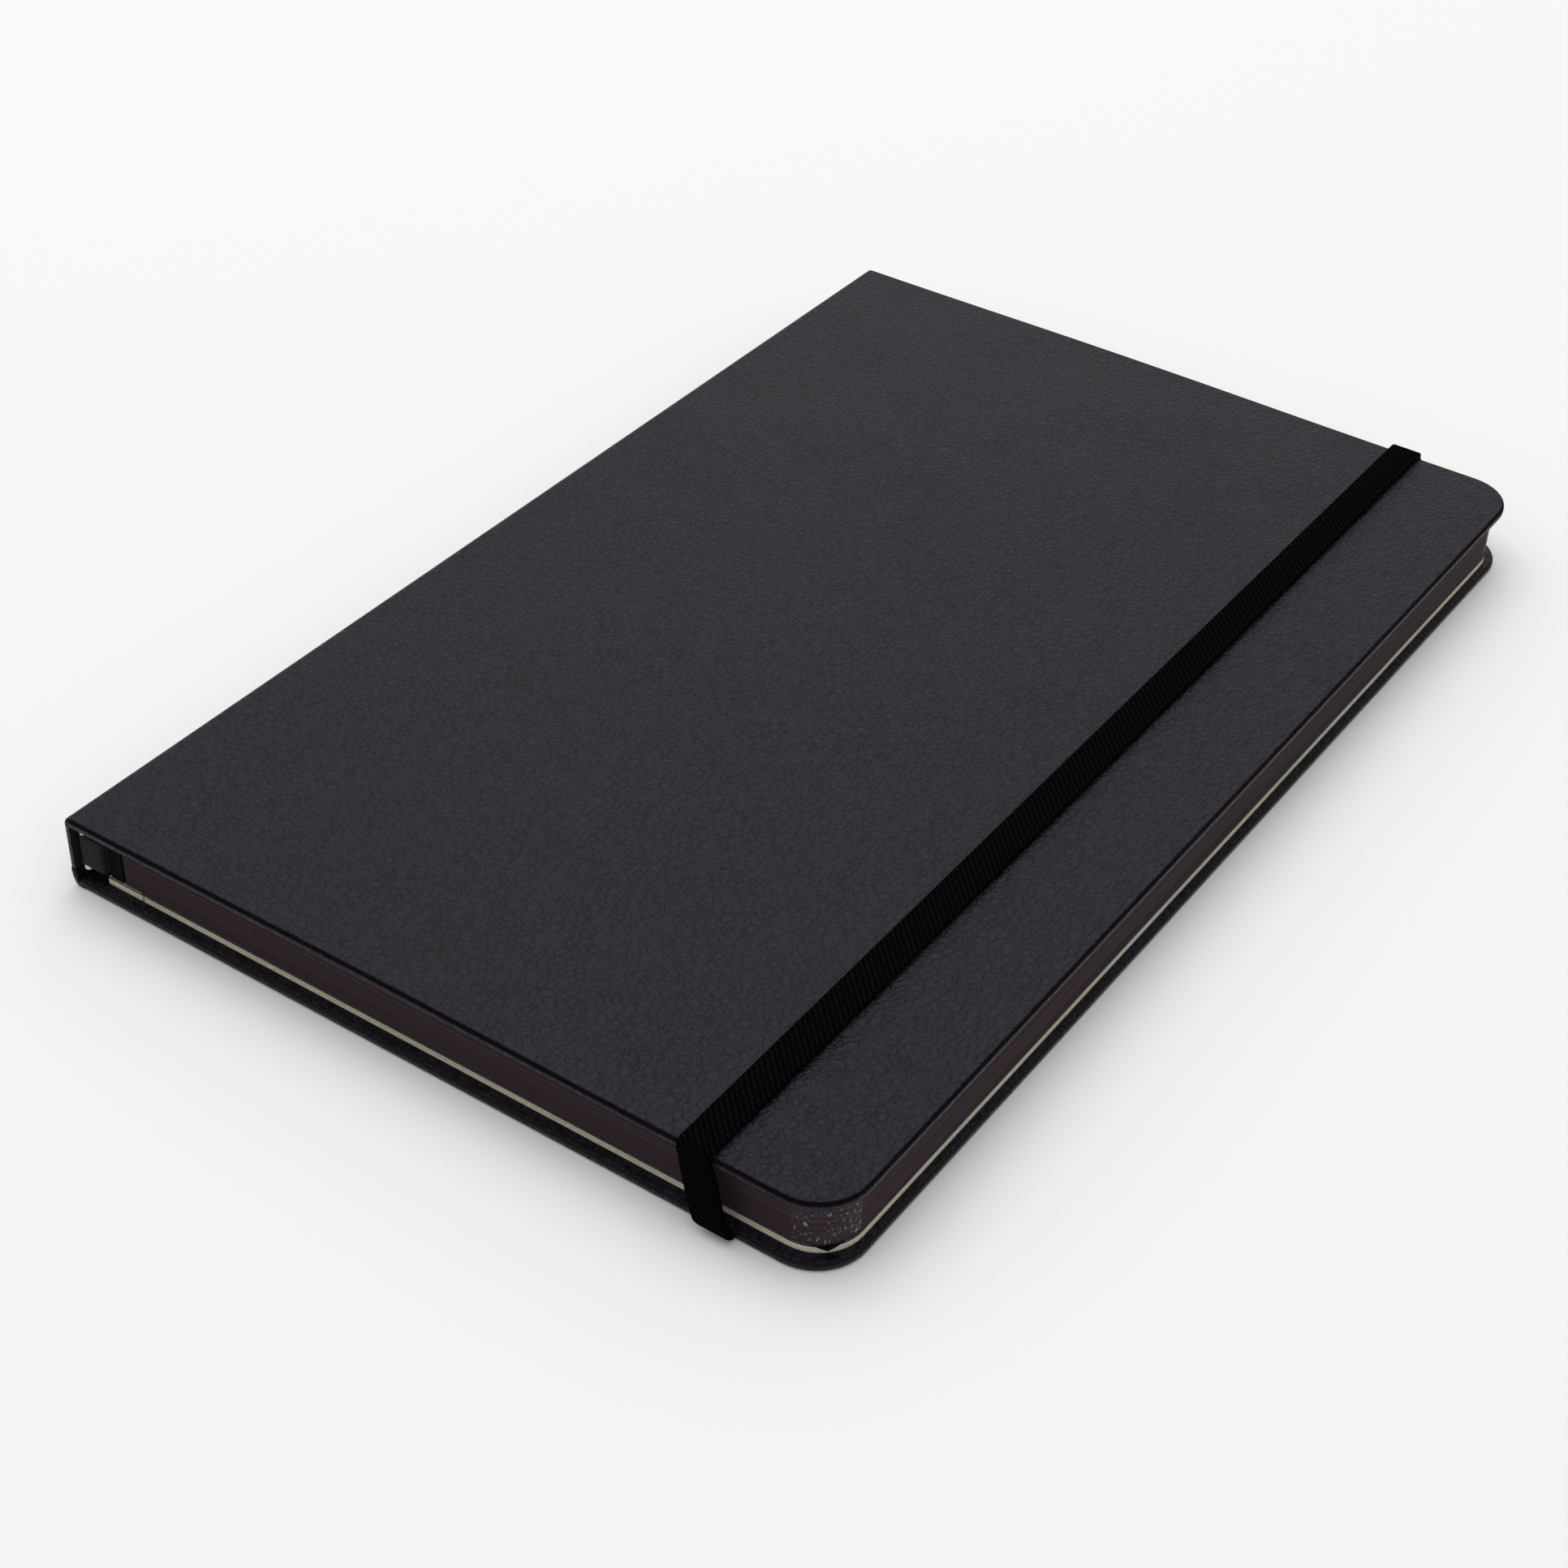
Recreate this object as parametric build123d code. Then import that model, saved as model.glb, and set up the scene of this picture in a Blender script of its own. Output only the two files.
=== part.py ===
from build123d import *
import os

# Hardcover sketchbook, closed, lying on its back cover. X runs from the spine (-X) to the
# fore-edge (+X), Y along the spine from the tail (-Y) to the head (+Y), Z up from the back
# cover's outer face. The origin is under the middle of the book. Millimetres.

# Case: two covers and a flat spine, board wrapped in leatherette.
book_width = 134.0
book_height = 210.0
cover_thickness = 1.5
cover_corner_radius = 8.0
cover_edge_round = 0.6
skin_thickness = 0.25
turn_in_width = 4.0
spine_thickness = 1.2
front_fold_radius = 1.2
back_fold_radius = 1.5
back_fold_free = 1.6
fold_thickness = 0.6
fold_gap = 0.1

# Text block: sewn sections of dyed-edge paper between two black flyleaves.
section_count = 6
section_thickness = 1.25
section_fold_round = 0.5
flyleaf_thickness = 0.15
leaf_corner_radius = 7.0
sheet_clearance = 0.03
block_clearance = 0.05
spine_to_block = 9.3
head_tail_square = 2.0
fore_edge_square = 1.3

# What holds the block together at its spine.
thread_diameter = 0.3
stitch_length = 24.0
stitch_pitch = 36.0
stitch_count = 5
thread_space = 0.4
cloth_thickness = 2.6
lining_thickness = 1.2
band_thickness = 4.6
band_length = 6.0
band_margin = 0.8
band_stand_out = 1.2
cord_diameter = 1.2
cord_stand_out = 0.7
cord_wall = 0.1

# Pocket inside the back cover: a backing sheet and a hinged panel joined by folded gussets.
pocket_backing_thickness = 0.3
pocket_room = 0.5
pocket_panel_thickness = 0.5
guard_inner_x = 5.7
guard_outer_x = 12.4
pocket_mouth_gap = 0.3
gusset_width = 2.0
pocket_fold_width = 1.0
pocket_notch_width = 4.5
pocket_notch_depth = 1.2
pocket_notch_floor = 0.1
flyleaf_start_gap = 0.2

# Elastic closure band.
elastic_width = 5.7
elastic_thickness = 0.9
elastic_from_fore_edge = 21.3
elastic_lean = 3.5
elastic_clearance = 0.05
elastic_tuck_length = 10.0
elastic_slot_length = 1.6
elastic_turn_share = 0.9

# Heights, from the table up.
back_inner = cover_thickness
pocket_top = back_inner + pocket_backing_thickness + pocket_room + pocket_panel_thickness
back_flyleaf_low = pocket_top + block_clearance
sections_low = back_flyleaf_low + flyleaf_thickness + sheet_clearance
section_pitch = section_thickness + sheet_clearance
sections_high = sections_low + section_count * section_pitch
front_inner = sections_high + flyleaf_thickness + block_clearance
book_thickness = front_inner + cover_thickness

# Places across and along the book.
spine_x = -book_width / 2
fore_x = book_width / 2
half_height = book_height / 2
block_spine_x = spine_x + spine_to_block
block_fore_x = fore_x - fore_edge_square
block_half_height = half_height - head_tail_square
elastic_x = fore_x - elastic_from_fore_edge
tuck_x = elastic_x + elastic_lean


def slab(low_x, high_x, half_length, low_z, thickness, corner=0.0):
    """A flat sheet or board, square at the spine and rounded at the two fore-edge corners."""
    outline = Rectangle(high_x - low_x, 2 * half_length)
    if corner:
        outline = fillet(outline.vertices().group_by(Axis.X)[-1], corner)
    sheet = extrude(outline, thickness)
    return Pos((low_x + high_x) / 2, 0, low_z) * sheet


def block(low, high):
    """A rectangular piece between two opposite corners."""
    size = [h - l for l, h in zip(low, high)]
    middle = [(l + h) / 2 for l, h in zip(low, high)]
    return Pos(*middle) * Box(*size)


def elastic_channels():
    """Shallow channels under the back cover, each ending in a slot through the board."""
    half = elastic_width / 2 + elastic_clearance
    channel_top = elastic_thickness + 2 * elastic_clearance
    slot_top = cover_thickness - skin_thickness
    cut = []
    for side in (-1, 1):
        outer = side * (half_height + cover_edge_round)
        inner = side * (half_height - elastic_tuck_length)
        slot = inner - side * elastic_slot_length
        ends = sorted((outer, inner))
        cut.append(block((tuck_x - half, ends[0], -cover_edge_round),
                         (tuck_x + half, ends[1], channel_top)))
        ends = sorted((inner, slot))
        cut.append(block((tuck_x - half, ends[0], -cover_edge_round),
                         (tuck_x + half, ends[1], slot_top)))
    return cut


def cover(low_z, spine_edge, inner_face_up):
    """Board, leatherette skin and pastedown of one cover, as three nested solids."""
    whole = slab(spine_edge, fore_x, half_height, low_z, cover_thickness, cover_corner_radius)
    rims = whole.faces().sort_by(Axis.Z)[-1].edges() + whole.faces().sort_by(Axis.Z)[0].edges()
    whole = fillet(rims, cover_edge_round)
    board = slab(spine_edge + skin_thickness, fore_x - skin_thickness, half_height - skin_thickness,
                 low_z + skin_thickness, cover_thickness - 2 * skin_thickness,
                 cover_corner_radius - skin_thickness)
    sheet_z = low_z + cover_thickness - skin_thickness if inner_face_up else low_z
    sheet = slab(spine_edge + turn_in_width, fore_x - turn_in_width, half_height - turn_in_width,
                 sheet_z, skin_thickness, cover_corner_radius - turn_in_width)
    return board, whole - board - sheet, sheet


def fold(centre_x, centre_z, radius, side, free):
    """Leatherette bent a quarter turn round the edge of the spine, side -1 below and 1 above.

    Past the bend it runs straight along the spine for the free length, where there is no board.
    """
    length = 2 * half_height
    roll = Cylinder(radius, length) - Cylinder(radius - fold_thickness, length)
    corner = Pos(centre_x, 0, centre_z) * Rot(90, 0, 0) * roll
    ends = sorted((centre_z, centre_z + side * radius))
    bend = corner & block((spine_x, -half_height, ends[0]), (centre_x, half_height, ends[1]))
    outer_x = centre_x - radius
    ends = sorted((centre_z, centre_z - side * free))
    return bend + block((outer_x, -half_height, ends[0]),
                        (outer_x + fold_thickness, half_height, ends[1]))


parts = {}

# Back cover, with channels for the elastic's ends.
back_edge = spine_x + back_fold_radius
board, skin, sheet = cover(0.0, back_edge, True)
channels = elastic_channels()
parts["back_board"] = board - channels
parts["back_skin"] = skin - channels
parts["back_pastedown"] = sheet

# Front cover.
front_edge = spine_x + front_fold_radius
board, skin, sheet = cover(front_inner, front_edge, False)
parts["front_board"] = board
parts["front_skin"] = skin
parts["front_pastedown"] = sheet

# The two folds that join the covers to the spine.
back_fold_z = back_fold_radius
front_fold_z = book_thickness - front_fold_radius
parts["back_fold"] = fold(back_edge - fold_gap, back_fold_z, back_fold_radius - fold_gap, -1,
                          back_fold_free - fold_gap)
parts["front_fold"] = fold(front_edge - fold_gap, front_fold_z, front_fold_radius - fold_gap, 1,
                           fold_gap / 2)

# Flat spine: a strip of board with leatherette on its outside and round both ends.
spine_low = back_fold_z + back_fold_free
spine_high = front_fold_z - fold_gap
spine_whole = block((spine_x, -half_height, spine_low),
                    (spine_x + spine_thickness, half_height, spine_high))
spine_board = block((spine_x + skin_thickness, skin_thickness - half_height, spine_low),
                    (spine_x + spine_thickness, half_height - skin_thickness, spine_high))
parts["spine_board"] = spine_board
parts["spine_skin"] = spine_whole - spine_board

# Sewn sections, numbered from the front cover down, each folded at the spine.
for number in range(1, section_count + 1):
    low_z = sections_high - number * section_pitch
    section = slab(block_spine_x, block_fore_x, block_half_height, low_z, section_thickness,
                   leaf_corner_radius)
    folds = section.edges().filter_by(Axis.Y).group_by(Axis.X)[0]
    parts[f"section_{number}"] = fillet(folds, section_fold_round)

# Flyleaves above and below the sections. The back one starts past the pocket's guard.
guard_x = spine_x + guard_outer_x
parts["front_flyleaf"] = slab(block_spine_x, block_fore_x, block_half_height, sections_high,
                              flyleaf_thickness, leaf_corner_radius)
parts["back_flyleaf"] = slab(guard_x + flyleaf_start_gap, block_fore_x, block_half_height,
                             back_flyleaf_low, flyleaf_thickness, leaf_corner_radius)

# Sewing thread: a row of stitches along the fold of every section.
stitch = Rot(90, 0, 0) * Cylinder(thread_diameter / 2, stitch_length)
stitches = []
thread_x = block_spine_x - thread_space / 2
for number in range(section_count):
    for step in range(stitch_count):
        stitch_y = (step - (stitch_count - 1) / 2) * stitch_pitch
        stitch_z = sections_low + number * section_pitch + section_thickness / 2
        stitches.append(Pos(thread_x, stitch_y, stitch_z) * stitch)
parts["sewing_thread"] = Compound(children=stitches)

# Black spine cloth over the sewing, as long as the block.
cloth_x = block_spine_x - thread_space - cloth_thickness
cloth_high = sections_high - sheet_clearance
parts["spine_cloth"] = block((cloth_x, -block_half_height, sections_low),
                             (cloth_x + cloth_thickness, block_half_height, cloth_high))

# Grey paper lining on the cloth, between the two end bands.
lining_half = block_half_height - band_length
parts["spine_lining"] = block((cloth_x - lining_thickness, -lining_half, sections_low),
                              (cloth_x, lining_half, cloth_high))

# A woven band at the head and at the tail, each folded over a white core cord.
band_low = sections_low + band_margin
band_high = cloth_high - band_margin
cord_height = band_high - band_low + 2 * cord_stand_out
cord_inset = cord_wall + cord_diameter / 2
cord_x = cloth_x - band_thickness + cord_inset
for name, side in (("tail", -1), ("head", 1)):
    band_end = side * (block_half_height + band_stand_out)
    ends = sorted((side * lining_half, band_end))
    band = block((cloth_x - band_thickness, ends[0], band_low), (cloth_x, ends[1], band_high))
    cord = Pos(cord_x, band_end - side * cord_inset, (band_low + band_high) / 2) * Cylinder(
        cord_diameter / 2, cord_height)
    parts[f"{name}band"] = band - cord
    parts[f"{name}band_cord"] = cord

# Pocket: backing sheet with its folded fore-edge, guard at the spine, gussets and panel.
backing = slab(guard_x + pocket_mouth_gap, block_fore_x, block_half_height, back_inner,
               pocket_backing_thickness, leaf_corner_radius)
pocket_floor = back_inner + pocket_backing_thickness
pocket_room_block = slab(guard_x + pocket_mouth_gap, block_fore_x, block_half_height,
                         pocket_floor, pocket_room, leaf_corner_radius)
inner_half = block_half_height - gusset_width
fold_x = block_fore_x - leaf_corner_radius - pocket_fold_width
fold_side = block((fold_x, -half_height, pocket_floor), (fore_x, half_height, pocket_top))
inside = slab(guard_x, block_fore_x - pocket_fold_width, inner_half, pocket_floor, pocket_room,
              leaf_corner_radius - pocket_fold_width)
parts["pocket_backing"] = backing + (pocket_room_block & fold_side) - inside
gussets = pocket_room_block - inside - fold_side
parts["pocket_gusset_tail"] = gussets & block((spine_x, -half_height, 0), (fore_x, 0, pocket_top))
parts["pocket_gusset_head"] = gussets & block((spine_x, 0, 0), (fore_x, half_height, pocket_top))
parts["pocket_panel"] = slab(guard_x + pocket_mouth_gap, block_fore_x, block_half_height,
                             pocket_floor + pocket_room, pocket_panel_thickness,
                             leaf_corner_radius)
parts["pocket_guard"] = block((spine_x + guard_inner_x, -block_half_height, back_inner),
                              (guard_x, block_half_height, pocket_top))

# A V notch in each rounded corner of the pocket, where its folded edges are mitred.
for side in (-1, 1):
    corner = Vector(block_fore_x - leaf_corner_radius,
                    side * (block_half_height - leaf_corner_radius), 0)
    outward = Vector(1, side, 0).normalized()
    face_plane = Plane(origin=corner + outward * (leaf_corner_radius - pocket_notch_depth),
                       x_dir=Vector(-outward.Y, outward.X, 0), z_dir=outward)
    vee = Polygon((-pocket_notch_width / 2, pocket_top), (0, back_inner + pocket_notch_floor),
                  (pocket_notch_width / 2, pocket_top), align=None)
    wedge = extrude(face_plane * vee, 2 * pocket_notch_depth)
    parts["pocket_backing"] -= wedge
    parts["pocket_panel"] -= wedge

# Elastic: a band over the front cover and down both ends, leaning towards the fore-edge as
# it goes down, and its two ends tucked into the back cover.
half_width = elastic_width / 2
wrap_in = half_height + elastic_clearance
wrap_out = wrap_in + elastic_thickness
elastic_low = elastic_clearance + elastic_thickness
elastic_under = book_thickness + elastic_clearance
elastic_top = elastic_under + elastic_thickness
run_over = block((elastic_x - half_width, -wrap_out, elastic_under),
                 (elastic_x + half_width, wrap_out, elastic_top))
run_over = fillet(run_over.edges().filter_by(Axis.X).group_by(Axis.Z)[-1],
                  elastic_thickness * elastic_turn_share)
leg_outline = Polygon((tuck_x - half_width, elastic_low),
                      (tuck_x + half_width, elastic_low),
                      (elastic_x + half_width, elastic_under),
                      (elastic_x - half_width, elastic_under), align=None)
leg = extrude(Plane.XZ * leg_outline, elastic_thickness)
parts["elastic_band"] = run_over + Pos(0, -wrap_in, 0) * leg + Pos(0, wrap_out, 0) * leg
slot_top = cover_thickness - skin_thickness
for name, side in (("elastic_end_tail", -1), ("elastic_end_head", 1)):
    tuck = side * (half_height - elastic_tuck_length - elastic_clearance)
    ends = sorted((side * wrap_out, tuck))
    run = block((tuck_x - half_width, ends[0], elastic_clearance),
                (tuck_x + half_width, ends[1], elastic_clearance + elastic_thickness))
    ends = sorted((tuck, tuck - side * elastic_thickness))
    riser = block((tuck_x - half_width, ends[0], elastic_clearance),
                  (tuck_x + half_width, ends[1], slot_top))
    parts[name] = run + riser

os.makedirs("parts", exist_ok=True)
for name, shape in parts.items():
    export_step(shape, f"parts/{name}.step")
    print(name, round(shape.volume, 1))
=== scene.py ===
import math
import random

import bmesh
import bpy
from mathutils import Matrix, Vector


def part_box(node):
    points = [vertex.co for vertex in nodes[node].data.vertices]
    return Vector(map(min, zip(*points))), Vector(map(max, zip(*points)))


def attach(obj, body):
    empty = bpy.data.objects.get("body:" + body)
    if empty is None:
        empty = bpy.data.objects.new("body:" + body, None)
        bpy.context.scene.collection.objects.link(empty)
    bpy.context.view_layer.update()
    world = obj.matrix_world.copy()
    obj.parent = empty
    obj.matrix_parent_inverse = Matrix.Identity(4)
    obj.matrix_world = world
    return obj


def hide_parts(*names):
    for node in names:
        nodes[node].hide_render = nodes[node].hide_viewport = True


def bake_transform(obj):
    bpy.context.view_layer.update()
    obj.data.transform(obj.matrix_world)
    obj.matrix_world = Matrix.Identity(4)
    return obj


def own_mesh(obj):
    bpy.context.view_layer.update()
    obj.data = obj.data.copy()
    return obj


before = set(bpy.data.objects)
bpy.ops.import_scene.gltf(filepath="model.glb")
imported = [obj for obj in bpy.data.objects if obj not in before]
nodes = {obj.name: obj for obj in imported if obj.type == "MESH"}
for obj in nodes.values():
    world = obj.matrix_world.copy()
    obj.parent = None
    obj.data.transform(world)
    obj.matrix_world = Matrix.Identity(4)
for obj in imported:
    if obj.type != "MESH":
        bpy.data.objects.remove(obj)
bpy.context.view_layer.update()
mm = 0.001


# ---------------------------------------------------------------------------------------
# Studio. A white tabletop lit from above by one broad soft panel, with a weaker one
# behind, and a camera that looks down on the tail corner of the fore-edge.

def smooth_finish(name, colour, roughness):
    """A plain principled material, and the nodes that later sections add to."""
    made = bpy.data.materials.new(name)
    made.use_nodes = True
    shader = made.node_tree.nodes["Principled BSDF"]
    shader.inputs["Base Color"].default_value = (*colour, 1.0)
    shader.inputs["Roughness"].default_value = roughness
    return made, made.node_tree, shader


table_half_width = 6.0
table_gap = 0.02 * mm
tabletop = bmesh.new()
bmesh.ops.create_grid(tabletop, x_segments=1, y_segments=1, size=table_half_width)
bmesh.ops.translate(tabletop, verts=tabletop.verts, vec=(0, 0, -table_gap))
table_mesh = bpy.data.meshes.new("tabletop")
tabletop.to_mesh(table_mesh)
tabletop.free()
table = bpy.data.objects.new("tabletop", table_mesh)
bpy.context.collection.objects.link(table)
white_table, _, table_shader = smooth_finish("white_table", (0.93, 0.93, 0.925), 0.9)
table_shader.inputs["Specular IOR Level"].default_value = 0.1
table_mesh.materials.append(white_table)

sky = bpy.data.worlds.new("studio")
sky.use_nodes = True
sky_light = sky.node_tree.nodes["Background"]
sky_light.inputs["Color"].default_value = (1.0, 1.0, 0.995, 1.0)
sky_light.inputs["Strength"].default_value = 0.6
bpy.context.scene.world = sky
bpy.context.scene.view_settings.view_transform = "Standard"


def soft_panel(name, place, target, width, height, power):
    """A rectangular area light aimed at a point."""
    lamp = bpy.data.lights.new(name, "AREA")
    lamp.shape = "RECTANGLE"
    lamp.size = width
    lamp.size_y = height
    lamp.energy = power
    panel = bpy.data.objects.new(name, lamp)
    bpy.context.collection.objects.link(panel)
    panel.location = place
    aim = Vector(target) - Vector(place)
    panel.rotation_euler = aim.to_track_quat("-Z", "Y").to_euler()
    panel.visible_camera = False


soft_panel("overhead_panel", (-0.5, 0.3, 2.2), (0, 0, 0), 2.6, 2.6, 29.0)
soft_panel("back_panel", (-0.9, 2.0, 0.9), (0, 0.1, 0), 2.6, 0.9, 2.5)

lens = bpy.data.cameras.new("camera")
lens.sensor_width = 36.0
lens.lens = 64.905
lens.clip_start = 0.01
camera = bpy.data.objects.new("camera", lens)
bpy.context.collection.objects.link(camera)
camera.location = (0.19389, -0.30929, 0.26868)
camera.rotation_euler = [math.radians(angle) for angle in (51.955, -1.374, 34.813)]
bpy.context.scene.camera = camera


# ---------------------------------------------------------------------------------------
# Covers and spine. One sheet of black leatherette is glued round two boards and a spine
# strip and turned in over their edges. It is embossed with a pebble grain, and it bends
# at two folds beside the spine. The board itself shows nowhere.

def node_group(name, given, made):
    """An empty shader node group with named inputs and outputs."""
    group = bpy.data.node_groups.new(name, "ShaderNodeTree")
    for label, kind, value in given:
        socket = group.interface.new_socket(label, in_out="INPUT", socket_type=kind)
        if value is not None:
            socket.default_value = value
    for label, kind in made:
        group.interface.new_socket(label, in_out="OUTPUT", socket_type=kind)
    return group, group.nodes.new("NodeGroupInput"), group.nodes.new("NodeGroupOutput")


def add(tree, kind, settings=None, **values):
    """A node with its settings and the values or links of its inputs, by name or as i0, i1."""
    node = tree.nodes.new(kind)
    for key, value in (settings or {}).items():
        setattr(node, key, value)
    for key, value in values.items():
        socket = node.inputs[int(key[1:])] if key[0] == "i" and key[1:].isdigit() else (
            node.inputs[key.replace("_", " ")])
        if isinstance(value, bpy.types.NodeSocket):
            tree.links.new(value, socket)
        else:
            socket.default_value = value
    return node


def arithmetic(tree, operation, first, second=0.0):
    """The output of one Math node."""
    return add(tree, "ShaderNodeMath", {"operation": operation}, i0=first, i1=second).outputs[0]


def remap(tree, value, low, high, to_low=0.0, to_high=1.0, kind="SMOOTHSTEP"):
    """The output of one Map Range node, held to its ends."""
    node = add(tree, "ShaderNodeMapRange", {"interpolation_type": kind, "clamp": True}, Value=value)
    for label, number in zip(("From Min", "From Max", "To Min", "To Max"),
                             (low, high, to_low, to_high)):
        node.inputs[label].default_value = number
    return node.outputs[0]


def mixed(tree, share, first, second):
    """A colour between two colours."""
    node = add(tree, "ShaderNodeMix", {"data_type": "RGBA"}, i0=share, i6=first, i7=second)
    return node.outputs[2]


def pebble_grain():
    """Soft pillows with wandering creases between them, crossed by finer wrinkles."""
    group, given, made = node_group(
        "pebble_grain",
        [("Place", "NodeSocketVector", None), ("Cells", "NodeSocketFloat", 760.0),
         ("Wander", "NodeSocketFloat", 0.0016)],
        [("Height", "NodeSocketFloat"), ("Crease_shade", "NodeSocketFloat"),
         ("Patch", "NodeSocketFloat")])
    place = given.outputs["Place"]
    drift = add(group, "ShaderNodeTexNoise", Vector=place, Scale=560.0, Detail=1.5)
    centred = add(group, "ShaderNodeVectorMath", {"operation": "SUBTRACT"},
                  i0=drift.outputs["Color"], i1=(0.5, 0.5, 0.5))
    bent = add(group, "ShaderNodeVectorMath", {"operation": "SCALE"},
               i0=centred.outputs[0], Scale=given.outputs["Wander"])
    moved = add(group, "ShaderNodeVectorMath", i0=place, i1=bent.outputs[0]).outputs[0]
    cells = add(group, "ShaderNodeTexVoronoi", {"feature": "DISTANCE_TO_EDGE"},
                Vector=moved, Scale=given.outputs["Cells"]).outputs[0]
    folds = add(group, "ShaderNodeTexNoise", Vector=moved, Scale=1100.0, Detail=1.0).outputs[0]
    ridge = arithmetic(group, "ABSOLUTE", arithmetic(group, "SUBTRACT", folds, 0.5))
    patch = add(group, "ShaderNodeTexNoise", Vector=place, Scale=60.0, Detail=3.0).outputs[0]
    fine = add(group, "ShaderNodeTexNoise", Vector=place, Scale=6000.0, Detail=2.0).outputs[0]
    pillow = remap(group, cells, 0.0, 0.26)
    wrinkle = remap(group, ridge, 0.0, 0.07)
    thin = arithmetic(group, "SUBTRACT", 1.0, remap(group, cells, 0.03, 0.17))
    hair = arithmetic(group, "SUBTRACT", 1.0, remap(group, ridge, 0.0, 0.03))
    body = arithmetic(group, "MULTIPLY", pillow, 0.62)
    detail = arithmetic(group, "MULTIPLY", wrinkle, 0.3)
    skin = arithmetic(group, "MULTIPLY", fine, 0.05)
    height = arithmetic(group, "ADD", arithmetic(group, "ADD", body, detail), skin)
    broken = add(group, "ShaderNodeTexNoise", Vector=place, Scale=520.0, Detail=2.0).outputs[0]
    # The crease lines, broken up by noise, make a mask that later darkens the leatherette's colour:
    # painted shade in the creases.
    lines = arithmetic(group, "MAXIMUM", thin, arithmetic(group, "MULTIPLY", hair, 0.6))
    crease_shade = arithmetic(group, "MULTIPLY", lines, remap(group, broken, 0.30, 0.60, 0.25, 1.0))
    group.links.new(height, made.inputs["Height"])
    group.links.new(crease_shade, made.inputs["Crease_shade"])
    group.links.new(patch, made.inputs["Patch"])
    return group


def placed(tree):
    """Object coordinates of the piece."""
    return tree.nodes.new("ShaderNodeTexCoord").outputs["Object"]


def use(tree, group, **values):
    """A node group placed in a material."""
    node = tree.nodes.new("ShaderNodeGroup")
    node.node_tree = group
    for key, value in values.items():
        if isinstance(value, bpy.types.NodeSocket):
            tree.links.new(value, node.inputs[key])
        else:
            node.inputs[key].default_value = value
    return node


grain = pebble_grain()
leatherette, tree, shader = smooth_finish("black_leatherette", (0.012, 0.009, 0.016), 0.5)
shader.inputs["Specular IOR Level"].default_value = 0.17
pebbles = use(tree, grain, Place=placed(tree), Cells=760.0)
dye = mixed(tree, remap(tree, pebbles.outputs["Patch"], 0.35, 0.65),
            (0.0105, 0.0070, 0.0165, 1), (0.0135, 0.0093, 0.0200, 1))
# Painted shade: the creases are darkened towards near-black.
crease_shaded = mixed(tree, pebbles.outputs["Crease_shade"], dye, (0.0010, 0.0008, 0.0014, 1))
upright = arithmetic(tree, "ABSOLUTE", add(
    tree, "ShaderNodeSeparateXYZ",
    i0=tree.nodes["Texture Coordinate"].outputs["Normal"]).outputs["Z"])
# Painted shade: on the rounded edges the colour is darkened, for the dark band along the edges of
# the covers.
rim_shade_mask = arithmetic(tree, "MULTIPLY", remap(tree, upright, 0.15, 0.4),
                 remap(tree, upright, 0.97, 0.80))
tree.links.new(mixed(tree, rim_shade_mask, crease_shaded, (0.0020, 0.0016, 0.0026, 1)),
               shader.inputs["Base Color"])
satin = remap(tree, pebbles.outputs["Patch"], 0.3, 0.7, 0.34, 0.42)
tree.links.new(arithmetic(tree, "ADD", satin, arithmetic(tree, "MULTIPLY", rim_shade_mask, 0.3)),
               shader.inputs["Roughness"])
relief = add(tree, "ShaderNodeBump", Height=pebbles.outputs["Height"], Strength=0.8,
             Distance=0.18 * mm)
tree.links.new(relief.outputs[0], shader.inputs["Normal"])


def piece(name, shape, finish, sharp=40.0):
    """An object in the book's frame from a finished bmesh."""
    mesh = bpy.data.meshes.new(name)
    shape.to_mesh(mesh)
    shape.free()
    mesh.materials.append(finish)
    for face in mesh.polygons:
        face.use_smooth = True
    mesh.set_sharp_from_angle(angle=math.radians(sharp))
    made = bpy.data.objects.new(name, mesh)
    bpy.context.collection.objects.link(made)
    return made


def dress(finish, *names):
    """Gives CAD pieces their finish."""
    for name in names:
        for holder in nodes[name].material_slots:
            holder.material = finish


# Points closer than `close` lie on the same face, and closer than `weld` they are one point.
close = 0.01 * mm
weld = 0.001 * mm
hairline = 0.0001 * mm
square_edge = math.radians(60)


def box_shape(low, high):
    """A bmesh box between two corners."""
    shape = bmesh.new()
    bmesh.ops.create_cube(shape, size=1.0)
    bmesh.ops.scale(shape, verts=shape.verts, vec=Vector(high) - Vector(low))
    bmesh.ops.translate(shape, verts=shape.verts, vec=(Vector(low) + Vector(high)) / 2)
    return shape


def round_fore_corners(shape, radius, steps=10):
    """Rounds the two upright corners on the fore-edge side."""
    fore = max(v.co.x for v in shape.verts) - weld
    upright = [e for e in shape.edges if all(v.co.x > fore for v in e.verts)
               and abs(e.verts[0].co.z - e.verts[1].co.z) > weld]
    bmesh.ops.bevel(shape, geom=upright, offset=radius, segments=steps, profile=0.5,
                    affect="EDGES", material=-1)


def swing(shape, faces, centre, axis, degrees, steps):
    """Bends the end of a sheet round a centre, and returns the new end."""
    turned = bmesh.ops.spin(shape, geom=faces, cent=centre, axis=axis,
                            angle=math.radians(degrees), steps=steps, use_merge=False)
    bmesh.ops.delete(shape, geom=faces, context="FACES")
    return [g for g in turned["geom_last"] if isinstance(g, bmesh.types.BMFace)]


def lengthen(shape, faces, reach):
    """Carries the end of a sheet further in a straight line, and returns the new end."""
    drawn = bmesh.ops.extrude_face_region(shape, geom=faces)
    moved = [g for g in drawn["geom"] if isinstance(g, bmesh.types.BMVert)]
    bmesh.ops.translate(shape, verts=moved, vec=reach)
    bmesh.ops.delete(shape, geom=faces, context="FACES")
    return [g for g in drawn["geom"] if isinstance(g, bmesh.types.BMFace)]


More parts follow.
